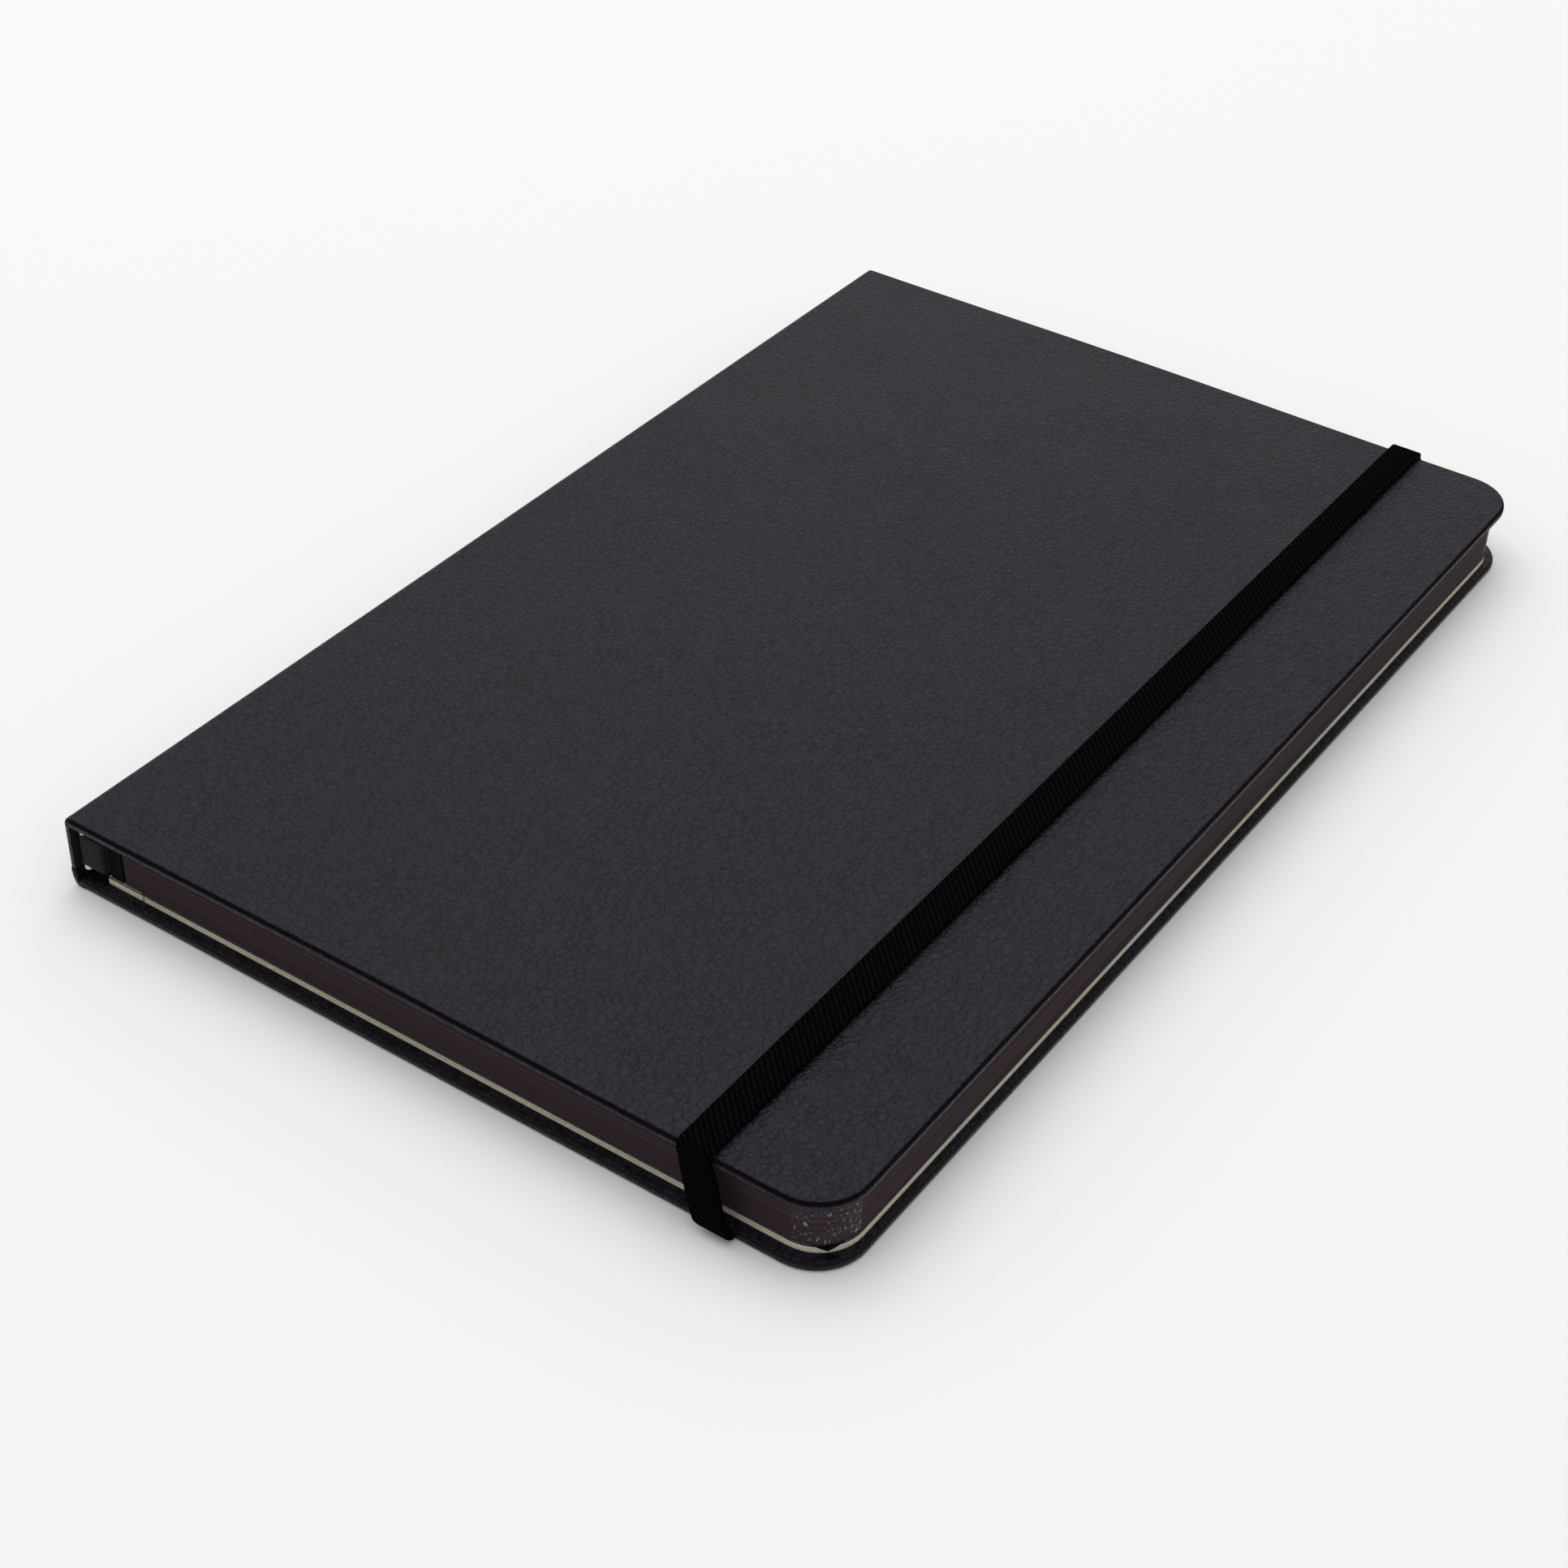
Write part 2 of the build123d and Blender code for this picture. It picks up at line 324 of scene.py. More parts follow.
def close_up(shape):
    """Merges doubled points and turns the faces outwards."""
    bmesh.ops.remove_doubles(shape, verts=shape.verts, dist=weld)
    bmesh.ops.recalc_face_normals(shape, faces=shape.faces)


cover_low, cover_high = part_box("front_skin")
spine_low, spine_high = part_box("spine_skin")
sheet_low, sheet_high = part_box("front_pastedown")
corner_radius = 8.0 * mm
wrap_thickness = 1.1 * mm
cover_strip = 8 * mm
turn_in = sheet_low.x - cover_low.x
front_radius = cover_low.x - spine_low.x
fold_centre = Vector((cover_low.x, 0, cover_high.z - front_radius))


def pinch_x():
    """Where the elastic crosses the covers."""
    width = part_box("elastic_end_tail")[1].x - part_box("elastic_end_tail")[0].x
    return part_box("elastic_band")[0].x + width / 2


def bow(shape):
    """Lifts the middle of the front cover, which is held down at the spine and the elastic."""
    rise = 0.3 * mm
    span = pinch_x() - cover_low.x
    for v in shape.verts:
        across = (v.co.x - cover_low.x) / span
        if 0.0 < across < 1.0:
            v.co.z += rise * math.sin(math.pi * across) ** 2


def cut_across(shape):
    """Cuts a wide sheet into strips along the spine so that it can be bowed."""
    step = cover_low.x + cover_strip
    while step < cover_high.x - corner_radius:
        everything = shape.verts[:] + shape.edges[:] + shape.faces[:]
        bmesh.ops.bisect_plane(shape, geom=everything, plane_co=(step, 0, 0),
                               plane_no=(1, 0, 0), dist=hairline)
        step += cover_strip


front = box_shape(cover_low, cover_high)
round_fore_corners(front, corner_radius)
inner_face = [f for f in front.faces if f.normal.z < -0.9]
bmesh.ops.inset_region(front, faces=inner_face, thickness=turn_in,
                       depth=sheet_low.z - sheet_high.z)


def beside_spine():
    """The faces along the spine side of the cover."""
    return [f for f in front.faces if f.normal.x < -0.9
            and f.calc_center_median().x < cover_low.x + close]


around = set()
for f in beside_spine():
    around.update([f, *f.edges, *f.verts])
wrap_z = cover_high.z - wrap_thickness
bmesh.ops.bisect_plane(front, geom=list(around), plane_co=(0, 0, wrap_z), plane_no=(0, 0, 1),
                       dist=hairline)
lip = [f for f in beside_spine() if f.calc_center_median().z > wrap_z]
spine_top = swing(front, lip, fold_centre, (0, -1, 0), 90, 8)
lengthen(front, spine_top, (0, 0, spine_low.z - fold_centre.z))
close_up(front)


def outside(v):
    """Whether a point lies on the outer face of the cover, the fold or the spine."""
    if v.co.x > cover_low.x - close:
        return v.co.z > cover_high.z - close
    from_centre = math.hypot(v.co.x - fold_centre.x, v.co.z - fold_centre.z)
    return v.co.x < spine_low.x + close or abs(from_centre - front_radius) < close


def underneath(v):
    """Whether a point lies on the outline of the cover's inner face."""
    inward = 0.9 * turn_in
    return v.co.z < cover_low.z + close and (v.co.x > cover_high.x - inward
                                             or abs(v.co.y) > cover_high.y - inward)


def along_spine(e):
    """Whether an edge runs the length of the spine."""
    return (abs(e.verts[0].co.y - e.verts[1].co.y) > mm
            and max(v.co.x for v in e.verts) < cover_high.x - turn_in)


for belongs, rounding in ((outside, 0.62 * mm), (underneath, 0.35 * mm)):
    rims = [e for e in front.edges if len(e.link_faces) == 2 and all(belongs(v) for v in e.verts)
            and e.calc_face_angle(0) > square_edge and not along_spine(e)]
    bmesh.ops.bevel(front, geom=rims, offset=rounding, offset_type="OFFSET", segments=6,
                    profile=0.5, affect="EDGES", material=-1)
cut_across(front)
bow(front)
front_leather = piece("front_cover_leather", front, leatherette)

# Painted shade: the rounded edge of the board gets a copy of the finish with less reflection, for
# the dark band along the cover's edge.
shaded_rim_copy = leatherette.copy()
shaded_rim_copy.name = "shaded_rim_copy"
shaded_rim_shader = shaded_rim_copy.node_tree.nodes["Principled BSDF"]
shaded_rim_shader.inputs["Specular IOR Level"].default_value = 0.04
front_leather.data.materials.append(shaded_rim_copy)
for face in front_leather.data.polygons:
    rounded_over = 0.1 < face.normal.z < 0.96
    if rounded_over and face.center.x > cover_low.x:
        face.material_index = 1
front_leather.modifiers.new("even_shading", "WEIGHTED_NORMAL").keep_sharp = True
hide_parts("front_skin", "front_fold", "spine_skin")
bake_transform(front_leather)

dress(leatherette, "back_skin")

# The lower fold runs from under the back board up to the spine strip.
fold_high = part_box("back_fold")[1]
back_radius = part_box("back_skin")[0].x - spine_low.x
back_centre = Vector((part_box("back_skin")[0].x, 0, back_radius))
lower_thickness = 0.9 * mm
lower_lap = 1.0 * mm
lower = box_shape((back_centre.x, spine_low.y, 0),
                  (back_centre.x + lower_lap, spine_high.y, lower_thickness))
lip = [f for f in lower.faces if f.normal.x < -0.9]
swing(lower, lip, back_centre, (0, 1, 0), 90, 10)
stretch = (fold_high.z + 0.05 * mm) / back_radius
for v in lower.verts:
    if v.co.x < back_centre.x:
        turn = math.atan2(back_centre.x - v.co.x, back_centre.z - v.co.z)
        v.co.z *= 1 + (stretch - 1) * math.sin(turn)
close_up(lower)
ends = [e for e in lower.edges if len(e.link_faces) == 2 and e.calc_face_angle(0) > square_edge
        and abs(e.verts[0].co.y - e.verts[1].co.y) < mm]
bmesh.ops.bevel(lower, geom=ends, offset=0.3 * mm, segments=3, profile=0.5, affect="EDGES",
                material=-1, clamp_overlap=True)
lower_fold = piece("lower_fold_leather", lower, leatherette)
lower_fold.modifiers.new("even_shading", "WEIGHTED_NORMAL").keep_sharp = True
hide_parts("back_fold")
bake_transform(lower_fold)


# ---------------------------------------------------------------------------------------
# Boards. Dense grey bookbinder's board, cut square at the spine, inside the leatherette.
# The strip inside the spine is thin black card.

def speckle():
    """Short pale and dark flecks, as in grey board and in uncoated paper."""
    group, given, made = node_group(
        "speckle",
        [("Place", "NodeSocketVector", None), ("Fineness", "NodeSocketFloat", 2500.0)],
        [("Height", "NodeSocketFloat"), ("Fleck", "NodeSocketFloat")])
    place = given.outputs["Place"]
    fibre = add(group, "ShaderNodeTexNoise", Vector=place, Scale=given.outputs["Fineness"],
                Detail=4.0).outputs[0]
    cloud = add(group, "ShaderNodeTexNoise", Vector=place, Scale=120.0, Detail=2.0).outputs[0]
    group.links.new(fibre, made.inputs["Height"])
    group.links.new(arithmetic(group, "MULTIPLY", fibre, arithmetic(group, "ADD", cloud, 0.5)),
                    made.inputs["Fleck"])
    return group


flecks = speckle()


def sheet_finish(name, dark, light, roughness, fineness, depth):
    """An uncoated sheet: two close colours by its flecks, and a fibre relief."""
    made, tree, shader = smooth_finish(name, light, roughness)
    shader.inputs["Specular IOR Level"].default_value = 0.25
    fibres = use(tree, flecks, Place=placed(tree), Fineness=fineness)
    share = remap(tree, fibres.outputs["Fleck"], 0.35, 0.65)
    tree.links.new(mixed(tree, share, (*dark, 1), (*light, 1)), shader.inputs["Base Color"])
    tree.links.new(remap(tree, fibres.outputs["Height"], 0.2, 0.8, roughness - 0.06, roughness),
                   shader.inputs["Roughness"])
    relief = add(tree, "ShaderNodeBump", Height=fibres.outputs["Height"], Strength=0.4,
                 Distance=depth)
    tree.links.new(relief.outputs[0], shader.inputs["Normal"])
    return made


grey_board = sheet_finish("grey_board", (0.30, 0.29, 0.27), (0.44, 0.42, 0.39), 0.95, 1800.0,
                          0.05 * mm)
dress(grey_board, "back_board", "front_board")
black_card = sheet_finish("black_card", (0.004, 0.004, 0.004), (0.008, 0.008, 0.009), 0.9,
                          2200.0, 0.03 * mm)
dress(black_card, "spine_board")


# ---------------------------------------------------------------------------------------
# Endpapers. Plain black paper, pasted down inside each cover over the turned-in
# leatherette, with a loose black flyleaf on each side of the drawing paper.

black_paper = sheet_finish("black_endpaper", (0.010, 0.010, 0.011), (0.017, 0.016, 0.018), 0.8,
                           2600.0, 0.03 * mm)
pasted = box_shape(sheet_low, sheet_high)
round_fore_corners(pasted, corner_radius - turn_in, 8)
cut_across(pasted)
bow(pasted)
front_paste = piece("front_pastedown_paper", pasted, black_paper)
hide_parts("front_pastedown")
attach(front_paste, "front_cover")
dress(black_paper, "back_pastedown", "front_flyleaf", "back_flyleaf")


# ---------------------------------------------------------------------------------------
# Drawing paper. Six sewn sections of folded cream sheets. The cut edges of the whole
# block are dyed dark brown-black after trimming, and the dye is glossy where it is thick.

section_count = 6
leaves_per_section = 10
leaf_share = 0.93
trim_wander = 0.04 * mm
leaf_corner = 7.0 * mm
dark_edge_width = 0.15 * mm


def corner_reach():
    """How far a point is past the start of a leaf's rounded corner, and from its centre."""
    group, given, made = node_group(
        "corner_reach", [("Place", "NodeSocketVector", None)],
        [("Past", "NodeSocketFloat"), ("Distance", "NodeSocketFloat")])
    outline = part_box(f"section_{section_count}")[1]
    where = add(group, "ShaderNodeSeparateXYZ", i0=given.outputs["Place"])
    past_x = arithmetic(group, "SUBTRACT", where.outputs["X"], outline.x - leaf_corner)
    past_y = arithmetic(group, "SUBTRACT", arithmetic(group, "ABSOLUTE", where.outputs["Y"]),
                        outline.y - leaf_corner)
    reach = add(group, "ShaderNodeCombineXYZ", i0=arithmetic(group, "MAXIMUM", past_x, 0.0),
                i1=arithmetic(group, "MAXIMUM", past_y, 0.0)).outputs[0]
    distance = add(group, "ShaderNodeVectorMath", {"operation": "LENGTH"}, i0=reach)
    group.links.new(arithmetic(group, "MINIMUM", past_x, past_y), made.inputs["Past"])
    group.links.new(distance.outputs["Value"], made.inputs["Distance"])
    return group


corners = corner_reach()
paper, tree, shader = smooth_finish("dyed_drawing_paper", (0.7, 0.67, 0.6), 0.7)
shader.inputs["Specular IOR Level"].default_value = 0.10
place = placed(tree)
fibres = use(tree, flecks, Place=place, Fineness=2200.0)
facing = add(tree, "ShaderNodeSeparateXYZ", i0=place.node.outputs["Normal"]).outputs["Z"]
page = remap(tree, arithmetic(tree, "ABSOLUTE", facing), 0.55, 0.75)
corner = use(tree, corners, Place=place)
rounded = remap(tree, corner.outputs["Past"], 0.2 * mm, 0.9 * mm)
seep = 0.35 * mm
undyed = remap(tree, corner.outputs["Distance"], leaf_corner - seep, leaf_corner - seep - dark_edge_width)
page = arithmetic(tree, "MULTIPLY", page, undyed)
stack = add(tree, "ShaderNodeMapping", {"vector_type": "POINT"}, Vector=place,
            Scale=(9.0, 9.0, 3600.0)).outputs[0]
lines = add(tree, "ShaderNodeTexNoise", Vector=stack, Scale=1.0, Detail=1.0).outputs[0]
dyed = mixed(tree, remap(tree, lines, 0.35, 0.68), (0.0290, 0.0170, 0.0225, 1),
             (0.0470, 0.0300, 0.0365, 1))
# Painted glints: pale grey specks on the rounded corners of the dyed edge.
tooth = add(tree, "ShaderNodeMapping", {"vector_type": "POINT"}, Vector=place,
            Scale=(2600.0, 2600.0, 1500.0)).outputs[0]
speck_noise = add(tree, "ShaderNodeTexNoise", Vector=tooth, Scale=1.0, Detail=2.0).outputs[0]
corner_glints = arithmetic(tree, "MULTIPLY", remap(tree, speck_noise, 0.60, 0.70), rounded)
dyed_edge_with_glints = mixed(tree, corner_glints, dyed, (0.26, 0.25, 0.27, 1))
cream = mixed(tree, fibres.outputs["Fleck"], (0.66, 0.63, 0.55, 1), (0.74, 0.71, 0.63, 1))
tree.links.new(mixed(tree, page, dyed_edge_with_glints, cream), shader.inputs["Base Color"])
spots = add(tree, "ShaderNodeTexNoise", Vector=place, Scale=2600.0, Detail=2.0).outputs[0]
matte = remap(tree, spots, 0.4, 0.7, 0.66, 0.80)
gloss = arithmetic(tree, "SUBTRACT", matte, arithmetic(tree, "MULTIPLY", rounded, 0.42))
tree.links.new(mixed(tree, page, gloss, (0.85, 0.85, 0.85, 1)), shader.inputs["Roughness"])
rough_cut = arithmetic(tree, "ADD", arithmetic(tree, "MULTIPLY", lines, 0.5),
                       arithmetic(tree, "MULTIPLY", speck_noise, rounded))
relief = add(tree, "ShaderNodeBump", Height=rough_cut, Strength=0.5, Distance=0.08 * mm)
tree.links.new(relief.outputs[0], shader.inputs["Normal"])

trim = random.Random(7)
for number in range(1, section_count + 1):
    name = f"section_{number}"
    low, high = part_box(name)
    pitch = (high.z - low.z) / leaves_per_section
    section = bmesh.new()
    for leaf in range(leaves_per_section):
        shift = Vector((trim.uniform(-trim_wander, 0), trim.uniform(-trim_wander, trim_wander), 0))
        base = Vector((low.x, low.y + trim_wander, low.z + leaf * pitch))
        top = Vector((high.x, high.y - trim_wander, base.z + pitch * leaf_share))
        sheet = box_shape(base + Vector((0, shift.y, 0)), top + shift)
        round_fore_corners(sheet, leaf_corner, 8)
        loose = bpy.data.meshes.new("leaf")
        sheet.to_mesh(loose)
        sheet.free()
        section.from_mesh(loose)
        bpy.data.meshes.remove(loose)
    leaves = piece(f"{name}_leaves", section, paper, sharp=30.0)
    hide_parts(name)
    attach(leaves, "text_block" if number == section_count else name)


# ---------------------------------------------------------------------------------------
# Spine of the block. White thread stitches through the folds of the sections. Black cloth
# is glued over them, and a grey paper lining over the cloth.

def flex(bent):
    """Bakes the piece's transform into its mesh."""
    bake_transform(bent)


def cut_level(shape, low, high, steps):
    """Cuts an upright piece into levels so that it can bend."""
    for step in range(1, steps):
        height = low + (high - low) * step / steps
        everything = shape.verts[:] + shape.edges[:] + shape.faces[:]
        bmesh.ops.bisect_plane(shape, geom=everything, plane_co=(0, 0, height),
                               plane_no=(0, 0, 1), dist=hairline)


def weave():
    """Threads that pass over and under each other, in rows a pitch apart."""
    group, given, made = node_group(
        "weave",
        [("Place", "NodeSocketVector", None), ("Threads", "NodeSocketFloat", 3000.0)],
        [("Height", "NodeSocketFloat")])
    across = add(group, "ShaderNodeVectorMath", {"operation": "SCALE"},
                 i0=given.outputs["Place"], Scale=given.outputs["Threads"]).outputs[0]
    parted = add(group, "ShaderNodeSeparateXYZ", i0=across)
    waves = [arithmetic(group, "SINE", parted.outputs[axis]) for axis in "XYZ"]
    first = arithmetic(group, "MULTIPLY", waves[0], waves[1])
    second = arithmetic(group, "MULTIPLY", waves[1], waves[2])
    third = arithmetic(group, "MULTIPLY", waves[0], waves[2])
    total = arithmetic(group, "ADD", arithmetic(group, "ADD", first, second), third)
    group.links.new(remap(group, total, -1.5, 1.5), made.inputs["Height"])
    return group


threads = weave()


def cloth_finish(name, dark, light, count, depth, shine):
    """A woven finish: darker between its threads."""
    made, tree, shader = smooth_finish(name, light, 0.85)
    shader.inputs["Specular IOR Level"].default_value = shine
    shader.inputs["Sheen Weight"].default_value = shine / 2
    woven = use(tree, threads, Place=placed(tree), Threads=count)
    tree.links.new(mixed(tree, woven.outputs["Height"], (*dark, 1), (*light, 1)),
                   shader.inputs["Base Color"])
    tree.links.new(remap(tree, woven.outputs["Height"], 0, 1, 0.92, 0.78),
                   shader.inputs["Roughness"])
    relief = add(tree, "ShaderNodeBump", Height=woven.outputs["Height"], Strength=0.6,
                 Distance=depth)
    tree.links.new(relief.outputs[0], shader.inputs["Normal"])
    return made


black_cloth = cloth_finish("black_spine_cloth", (0.001, 0.001, 0.001), (0.004, 0.004, 0.0045),
                           9000.0, 0.05 * mm, 0.04)
grey_lining = sheet_finish("grey_lining_paper", (0.10, 0.10, 0.105), (0.15, 0.15, 0.155), 0.9,
                           2400.0, 0.03 * mm)
for name, finish, slot_name in (("spine_cloth", black_cloth, "spine_cloth"),
                                ("spine_lining", grey_lining, "grey_lining")):
    low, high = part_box(name)
    backing = box_shape(low, high)
    upright = [e for e in backing.edges if all(v.co.x < low.x + close for v in e.verts)]
    bmesh.ops.bevel(backing, geom=upright, offset=0.3 * mm, segments=3, profile=0.5,
                    affect="EDGES", material=-1)
    cut_level(backing, low.z, high.z, 12)
    strip = piece(f"{name}_strip", backing, finish)
    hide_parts(name)
    flex(strip)

white_thread = cloth_finish("white_thread", (0.50, 0.49, 0.46), (0.80, 0.79, 0.75), 22000.0,
                            0.02 * mm, 0.2)
low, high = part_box("sewing_thread")
stitch_thickness = high.x - low.x
sewing = bmesh.new()
stitch_pitch = 36.0 * mm
stitch_length = 24.0 * mm
stitches_each_way = 2
for number in range(1, section_count + 1):
    section_low, section_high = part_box(f"section_{number}")
    for step in range(-stitches_each_way, stitches_each_way + 1):
        middle = Vector(((low.x + high.x) / 2, step * stitch_pitch,
                         (section_low.z + section_high.z) / 2))
        stand = Matrix.Translation(middle) @ Matrix.Rotation(math.radians(90), 4, "X")
        bmesh.ops.create_cone(sewing, cap_ends=True, segments=8, radius1=stitch_thickness / 2,
                              radius2=stitch_thickness / 2, depth=stitch_length, matrix=stand)
stitches = piece("stitches", sewing, white_thread)
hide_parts("sewing_thread")
flex(stitches)


# ---------------------------------------------------------------------------------------
# End bands. A grey woven tape at the head and the tail of the block's spine, folded over
# a white cord whose two cut ends show at the corners.

band_cloth = cloth_finish("grey_band_cloth", (0.006, 0.006, 0.008), (0.018, 0.018, 0.024),
                          7000.0, 0.06 * mm, 0.1)
for name in ("tailband", "headband"):
    low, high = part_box(name)
    tape = box_shape(low, high)
    outer_y = low.y if name == "tailband" else high.y
    fold_edges = [e for e in tape.edges if all(abs(v.co.y - outer_y) < close for v in e.verts)]
    bmesh.ops.bevel(tape, geom=fold_edges, offset=0.5 * mm, segments=4, profile=0.5,
                    affect="EDGES", material=-1)
    cut_level(tape, low.z, high.z, 8)
    wrapped = piece(f"{name}_tape", tape, band_cloth)
    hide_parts(name)
    flex(wrapped)

    low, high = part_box(f"{name}_cord")
    cord_radius = (high.x - low.x) / 2
    core = bmesh.new()
    bmesh.ops.create_cone(core, cap_ends=True, segments=16, radius1=cord_radius,
                          radius2=cord_radius, depth=high.z - low.z,
                          matrix=Matrix.Translation((low + high) / 2))
    tips = [e for e in core.edges if abs(e.verts[0].co.z - e.verts[1].co.z) < close]
    bmesh.ops.bevel(core, geom=tips, offset=0.25 * mm, segments=3, profile=0.5, affect="EDGES",
                    material=-1)
    cut_level(core, low.z, high.z, 8)
    cord = piece(f"{name}_core", core, white_thread)
    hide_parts(f"{name}_cord")
    flex(cord)


# ---------------------------------------------------------------------------------------
# Pocket. Cream card folded along the fore-edge, pasted inside the back cover, with paper
# gussets at the head and tail and a narrow guard beside its mouth. Its cut edges are darker
# in the notches at its corners, and along their upper side with painted shade from the block.

cream_card = sheet_finish("cream_card", (0.52, 0.50, 0.40), (0.60, 0.58, 0.47), 0.85, 2000.0,
                          0.04 * mm)
tree = cream_card.node_tree
shader = tree.nodes["Principled BSDF"]
card_colour = shader.inputs["Base Color"].links[0].from_socket
place = placed(tree)
facing = arithmetic(tree, "ABSOLUTE", add(
    tree, "ShaderNodeSeparateXYZ", i0=place.node.outputs["Normal"]).outputs["Z"])
corner = use(tree, corners, Place=place)
# The notches at the card's corners are darkened.
inside = remap(tree, corner.outputs["Distance"], leaf_corner - 0.02 * mm, leaf_corner - dark_edge_width)
notch = arithmetic(tree, "MULTIPLY", inside,
                   arithmetic(tree, "GREATER_THAN", corner.outputs["Past"], 0.0))
# Painted shade: the upper side of the card's cut edges is darkened, for the shadow under the dyed
# block.
shade_line_depth = 0.28 * mm
where = add(tree, "ShaderNodeSeparateXYZ", i0=place)
shade_line = arithmetic(tree, "GREATER_THAN", where.outputs["Z"],
                    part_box("pocket_panel")[1].z - shade_line_depth)
# Both marks are drawn near-black: the corner notches, and the painted shade along the upper side.
corner_dark_and_shade_line = arithmetic(tree, "MULTIPLY", arithmetic(tree, "MAXIMUM", notch, shade_line),
                     arithmetic(tree, "LESS_THAN", facing, 0.97))
tree.links.new(mixed(tree, corner_dark_and_shade_line, card_colour, (0.008, 0.006, 0.007, 1)),
               shader.inputs["Base Color"])
dress(cream_card, "pocket_backing", "pocket_panel", "pocket_guard")
fold_depth = 0.6 * mm
for side, inward in (("tail", 1), ("head", -1)):
    low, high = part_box(f"pocket_gusset_{side}")
    gusset = box_shape(low, high)
    cut_level(gusset, low.z, high.z, 6)
    middle_z = (low.z + high.z) / 2
    for v in gusset.verts:
        share = 1 - abs(v.co.z - middle_z) / (middle_z - low.z)
        v.co.y += inward * fold_depth * share
    folded = piece(f"pocket_gusset_{side}_fold", gusset, cream_card)
    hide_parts(f"pocket_gusset_{side}")
    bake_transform(folded)


# ---------------------------------------------------------------------------------------
# Elastic. A flat knitted band, stretched over the front cover and round the head and the
# tail. Its ends go through slots in the back cover and are glued down inside.

elastic_low, elastic_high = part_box("elastic_band")
tuck_low, tuck_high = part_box("elastic_end_tail")
elastic_width = tuck_high.x - tuck_low.x
elastic_lean = tuck_low.x - elastic_low.x
elastic_side = elastic_low.x + elastic_width
lie_gap = 0.05 * mm
elastic_thickness = elastic_high.z - cover_high.z - lie_gap
turn_inside = 0.35 * mm
turn_y = elastic_high.y - elastic_thickness - turn_inside
turn_z = elastic_high.z - elastic_thickness - turn_inside
knit, tree, shader = smooth_finish("knitted_elastic", (0.003, 0.003, 0.0035), 0.9)
shader.inputs["Specular IOR Level"].default_value = 0.015
along = tree.nodes.new("ShaderNodeTexCoord").outputs["UV"]
slant = add(tree, "ShaderNodeTexWave", {"wave_type": "BANDS", "bands_direction": "DIAGONAL"},
            Vector=along, Scale=560.0, Distortion=0.8, Detail=1.0).outputs["Fac"]
loops = add(tree, "ShaderNodeTexWave", {"wave_type": "BANDS", "bands_direction": "Y"},
            Vector=along, Scale=380.0, Distortion=0.5, Detail=1.0).outputs["Fac"]
fuzz = add(tree, "ShaderNodeTexNoise", Vector=along, Scale=5000.0, Detail=2.0).outputs[0]
knots = arithmetic(tree, "MULTIPLY", slant, arithmetic(tree, "ADD", loops, 0.4))
yarn = arithmetic(tree, "MULTIPLY", knots, arithmetic(tree, "ADD", fuzz, 0.5))
tree.links.new(mixed(tree, yarn, (0.0003, 0.0003, 0.0004, 1), (0.0034, 0.0030, 0.0038, 1)),
               shader.inputs["Base Color"])
tree.links.new(remap(tree, yarn, 0, 1, 0.95, 0.7), shader.inputs["Roughness"])
relief = add(tree, "ShaderNodeBump", Height=yarn, Strength=0.8, Distance=0.2 * mm)
tree.links.new(relief.outputs[0], shader.inputs["Normal"])


def lengthwise(shape):
    """Gives the knit a strip of its own, across and along the band."""
    strip_layer = shape.loops.layers.uv.new("strip")
    for face in shape.faces:
        for loop in face.loops:
            spot = loop.vert.co
            below = math.copysign(elastic_high.z - spot.z, spot.y)
            loop[strip_layer].uv = (spot.x - elastic_low.x, spot.y + below)


def straight_band(low, high):
    """A straight stretch of the band, its long edges rounded."""
    shape = box_shape(low, high)
    long_edges = [e for e in shape.edges if abs(e.verts[0].co.y - e.verts[1].co.y) > mm]
    bmesh.ops.bevel(shape, geom=long_edges, offset=0.38 * mm, segments=3, profile=0.5,
                    affect="EDGES", material=-1)
    return shape


band = straight_band((elastic_low.x, 0, elastic_high.z - elastic_thickness),
                     (elastic_side, turn_y, elastic_high.z))
end = [f for f in band.faces if f.normal.y > 0.9]
last = swing(band, end, (0, turn_y, turn_z), (1, 0, 0), -90, 8)
leg_steps = 12
loose = 1.05 * mm
bend_inside = 1.6 * mm
hook_centre = Vector((0, elastic_high.y + loose - elastic_thickness - bend_inside,
                      tuck_low.z + elastic_thickness + bend_inside))
leg_length = turn_z - hook_centre.z
for step in range(leg_steps):
    eased = [(1 - math.cos(math.pi * share / leg_steps)) / 2 for share in (step, step + 1)]
    last = lengthen(band, last, (elastic_lean / leg_steps, loose * (eased[1] - eased[0]),
                                 -leg_length / leg_steps))

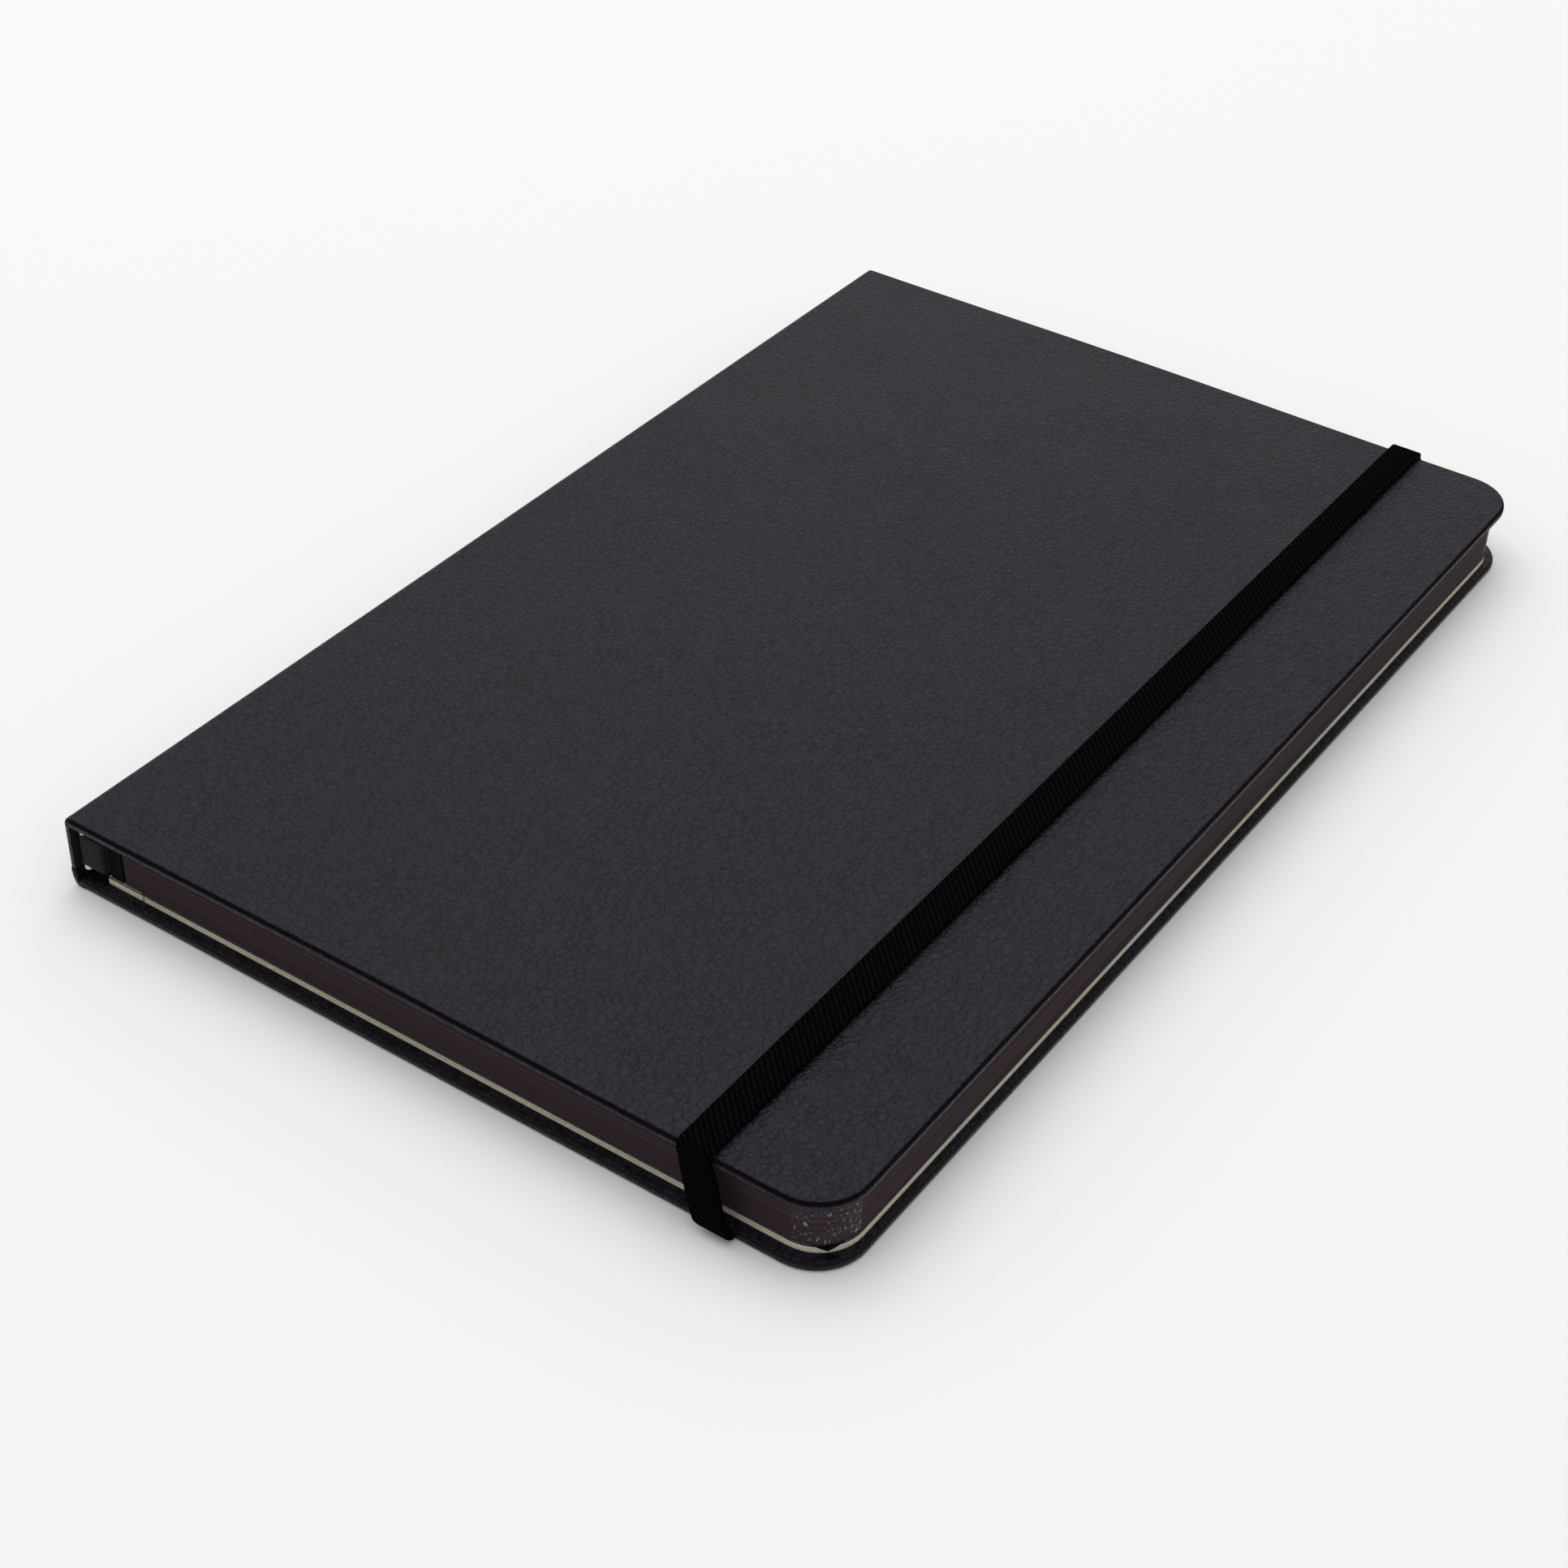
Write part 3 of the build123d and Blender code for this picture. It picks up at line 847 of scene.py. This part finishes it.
# Over the edge of the front cover the pull gathers the band a little narrower.
gather = 0.10
for v in band.verts:
    away = math.hypot(v.co.y - elastic_high.y, v.co.z - turn_z) / (3 * elastic_thickness)
    if away < 1:
        down_share = max(0.0, (turn_z - v.co.z) / leg_length)
        middle = elastic_low.x + elastic_width / 2 + elastic_lean * down_share
        v.co.x += (middle - v.co.x) * gather * math.cos(math.pi * away / 2) ** 2
middle_face = [f for f in band.faces if all(abs(v.co.y) < weld for v in f.verts)]
bmesh.ops.delete(band, geom=middle_face, context="FACES")
bmesh.ops.mirror(band, geom=band.verts[:] + band.edges[:] + band.faces[:], merge_dist=weld,
                 axis="Y")
bmesh.ops.recalc_face_normals(band, faces=band.faces)
lengthwise(band)
elastic = piece("elastic_closure", band, knit, sharp=50.0)
elastic.modifiers.new("even_shading", "WEIGHTED_NORMAL").keep_sharp = True
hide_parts("elastic_band")
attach(elastic, "elastic_band")
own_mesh(elastic)

# Each end turns under the back cover in a round hook, and goes up into its slot.
slot_bend = 0.05 * mm
hook_gather = 0.35
slot_centre = Vector((0, min(abs(tuck_low.y), abs(tuck_high.y)) + elastic_thickness + slot_bend,
                      tuck_low.z + elastic_thickness + slot_bend))
for side, outward in (("tail", -1), ("head", 1)):
    under = straight_band((tuck_low.x, slot_centre.y, tuck_low.z),
                          (tuck_high.x, hook_centre.y, tuck_low.z + elastic_thickness))
    outer_end = [f for f in under.faces if f.normal.y > 0.9]
    inner_end = [f for f in under.faces if f.normal.y < -0.9]
    swing(under, outer_end, hook_centre, (1, 0, 0), 90, 10)
    riser = swing(under, inner_end, slot_centre, (1, 0, 0), -90, 6)
    lengthen(under, riser, (0, 0, tuck_high.z - slot_centre.z))
    for v in under.verts:
        turn = math.atan2(v.co.y - hook_centre.y, hook_centre.z - v.co.z)
        share = (1 + math.cos(2 * max(turn, 0.0))) / 2
        v.co.x += (tuck_high.x - v.co.x) * hook_gather * share
    bmesh.ops.scale(under, verts=under.verts, vec=(1, outward, 1))
    bmesh.ops.recalc_face_normals(under, faces=under.faces)
    lengthwise(under)
    tuck = piece(f"elastic_tuck_{side}", under, knit, sharp=50.0)
    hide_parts(f"elastic_end_{side}")
    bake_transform(tuck)
